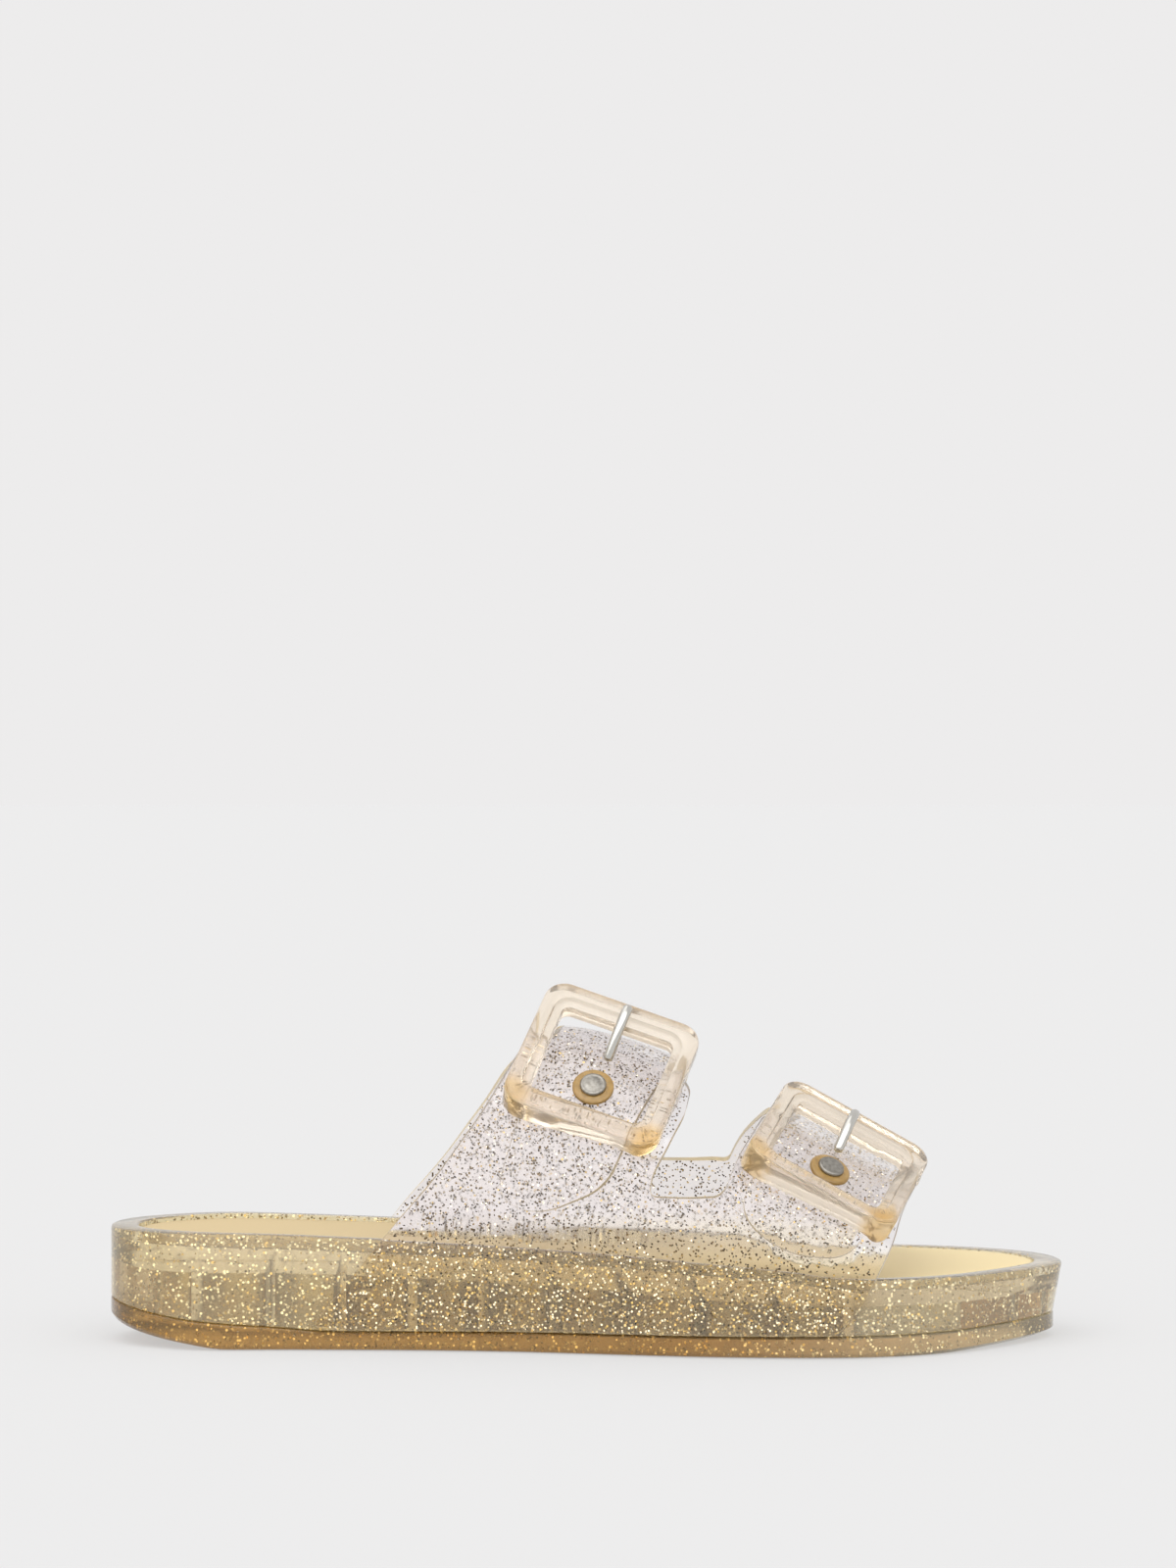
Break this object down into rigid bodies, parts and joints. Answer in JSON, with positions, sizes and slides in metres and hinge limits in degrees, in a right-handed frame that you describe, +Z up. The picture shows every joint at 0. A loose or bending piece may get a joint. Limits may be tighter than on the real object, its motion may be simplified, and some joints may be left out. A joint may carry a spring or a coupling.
{
  "type": "jelly sandal",
  "caption": "Two-strap slide sandal in clear glitter PVC with square clear buckles, a deep ribbed sole and a smooth cream insole.",
  "frame": {"origin": "on the floor plane under the middle of the sole's length, on the line from the heel point along the foot", "axes": "+X towards the toe, +Y towards the inner side of the right foot, +Z up"},
  "size_m": [0.258, 0.1015, 0.096],
  "materials": {
    "outsole_pvc": "clear amber PVC with gold glitter, glossy",
    "sole_pvc": "clear amber PVC with gold glitter, glossy",
    "insole_cream": "smooth matt cream",
    "upper_pvc": "clear PVC with gold glitter, glossy",
    "buckle_amber": "clear pale amber, polished",
    "plated_metal": "bright plated"
  },
  "bodies": {
    "root": {"outsole": "outsole_pvc", "midsole": "sole_pvc", "insole": "insole_cream", "upper": "upper_pvc", "buckle_rear": "buckle_amber", "buckle_front": "buckle_amber", "prong_rear": "plated_metal", "prong_front": "plated_metal", "rivet_rear": "plated_metal", "rivet_front": "plated_metal"}
  },
  "joints": []
}
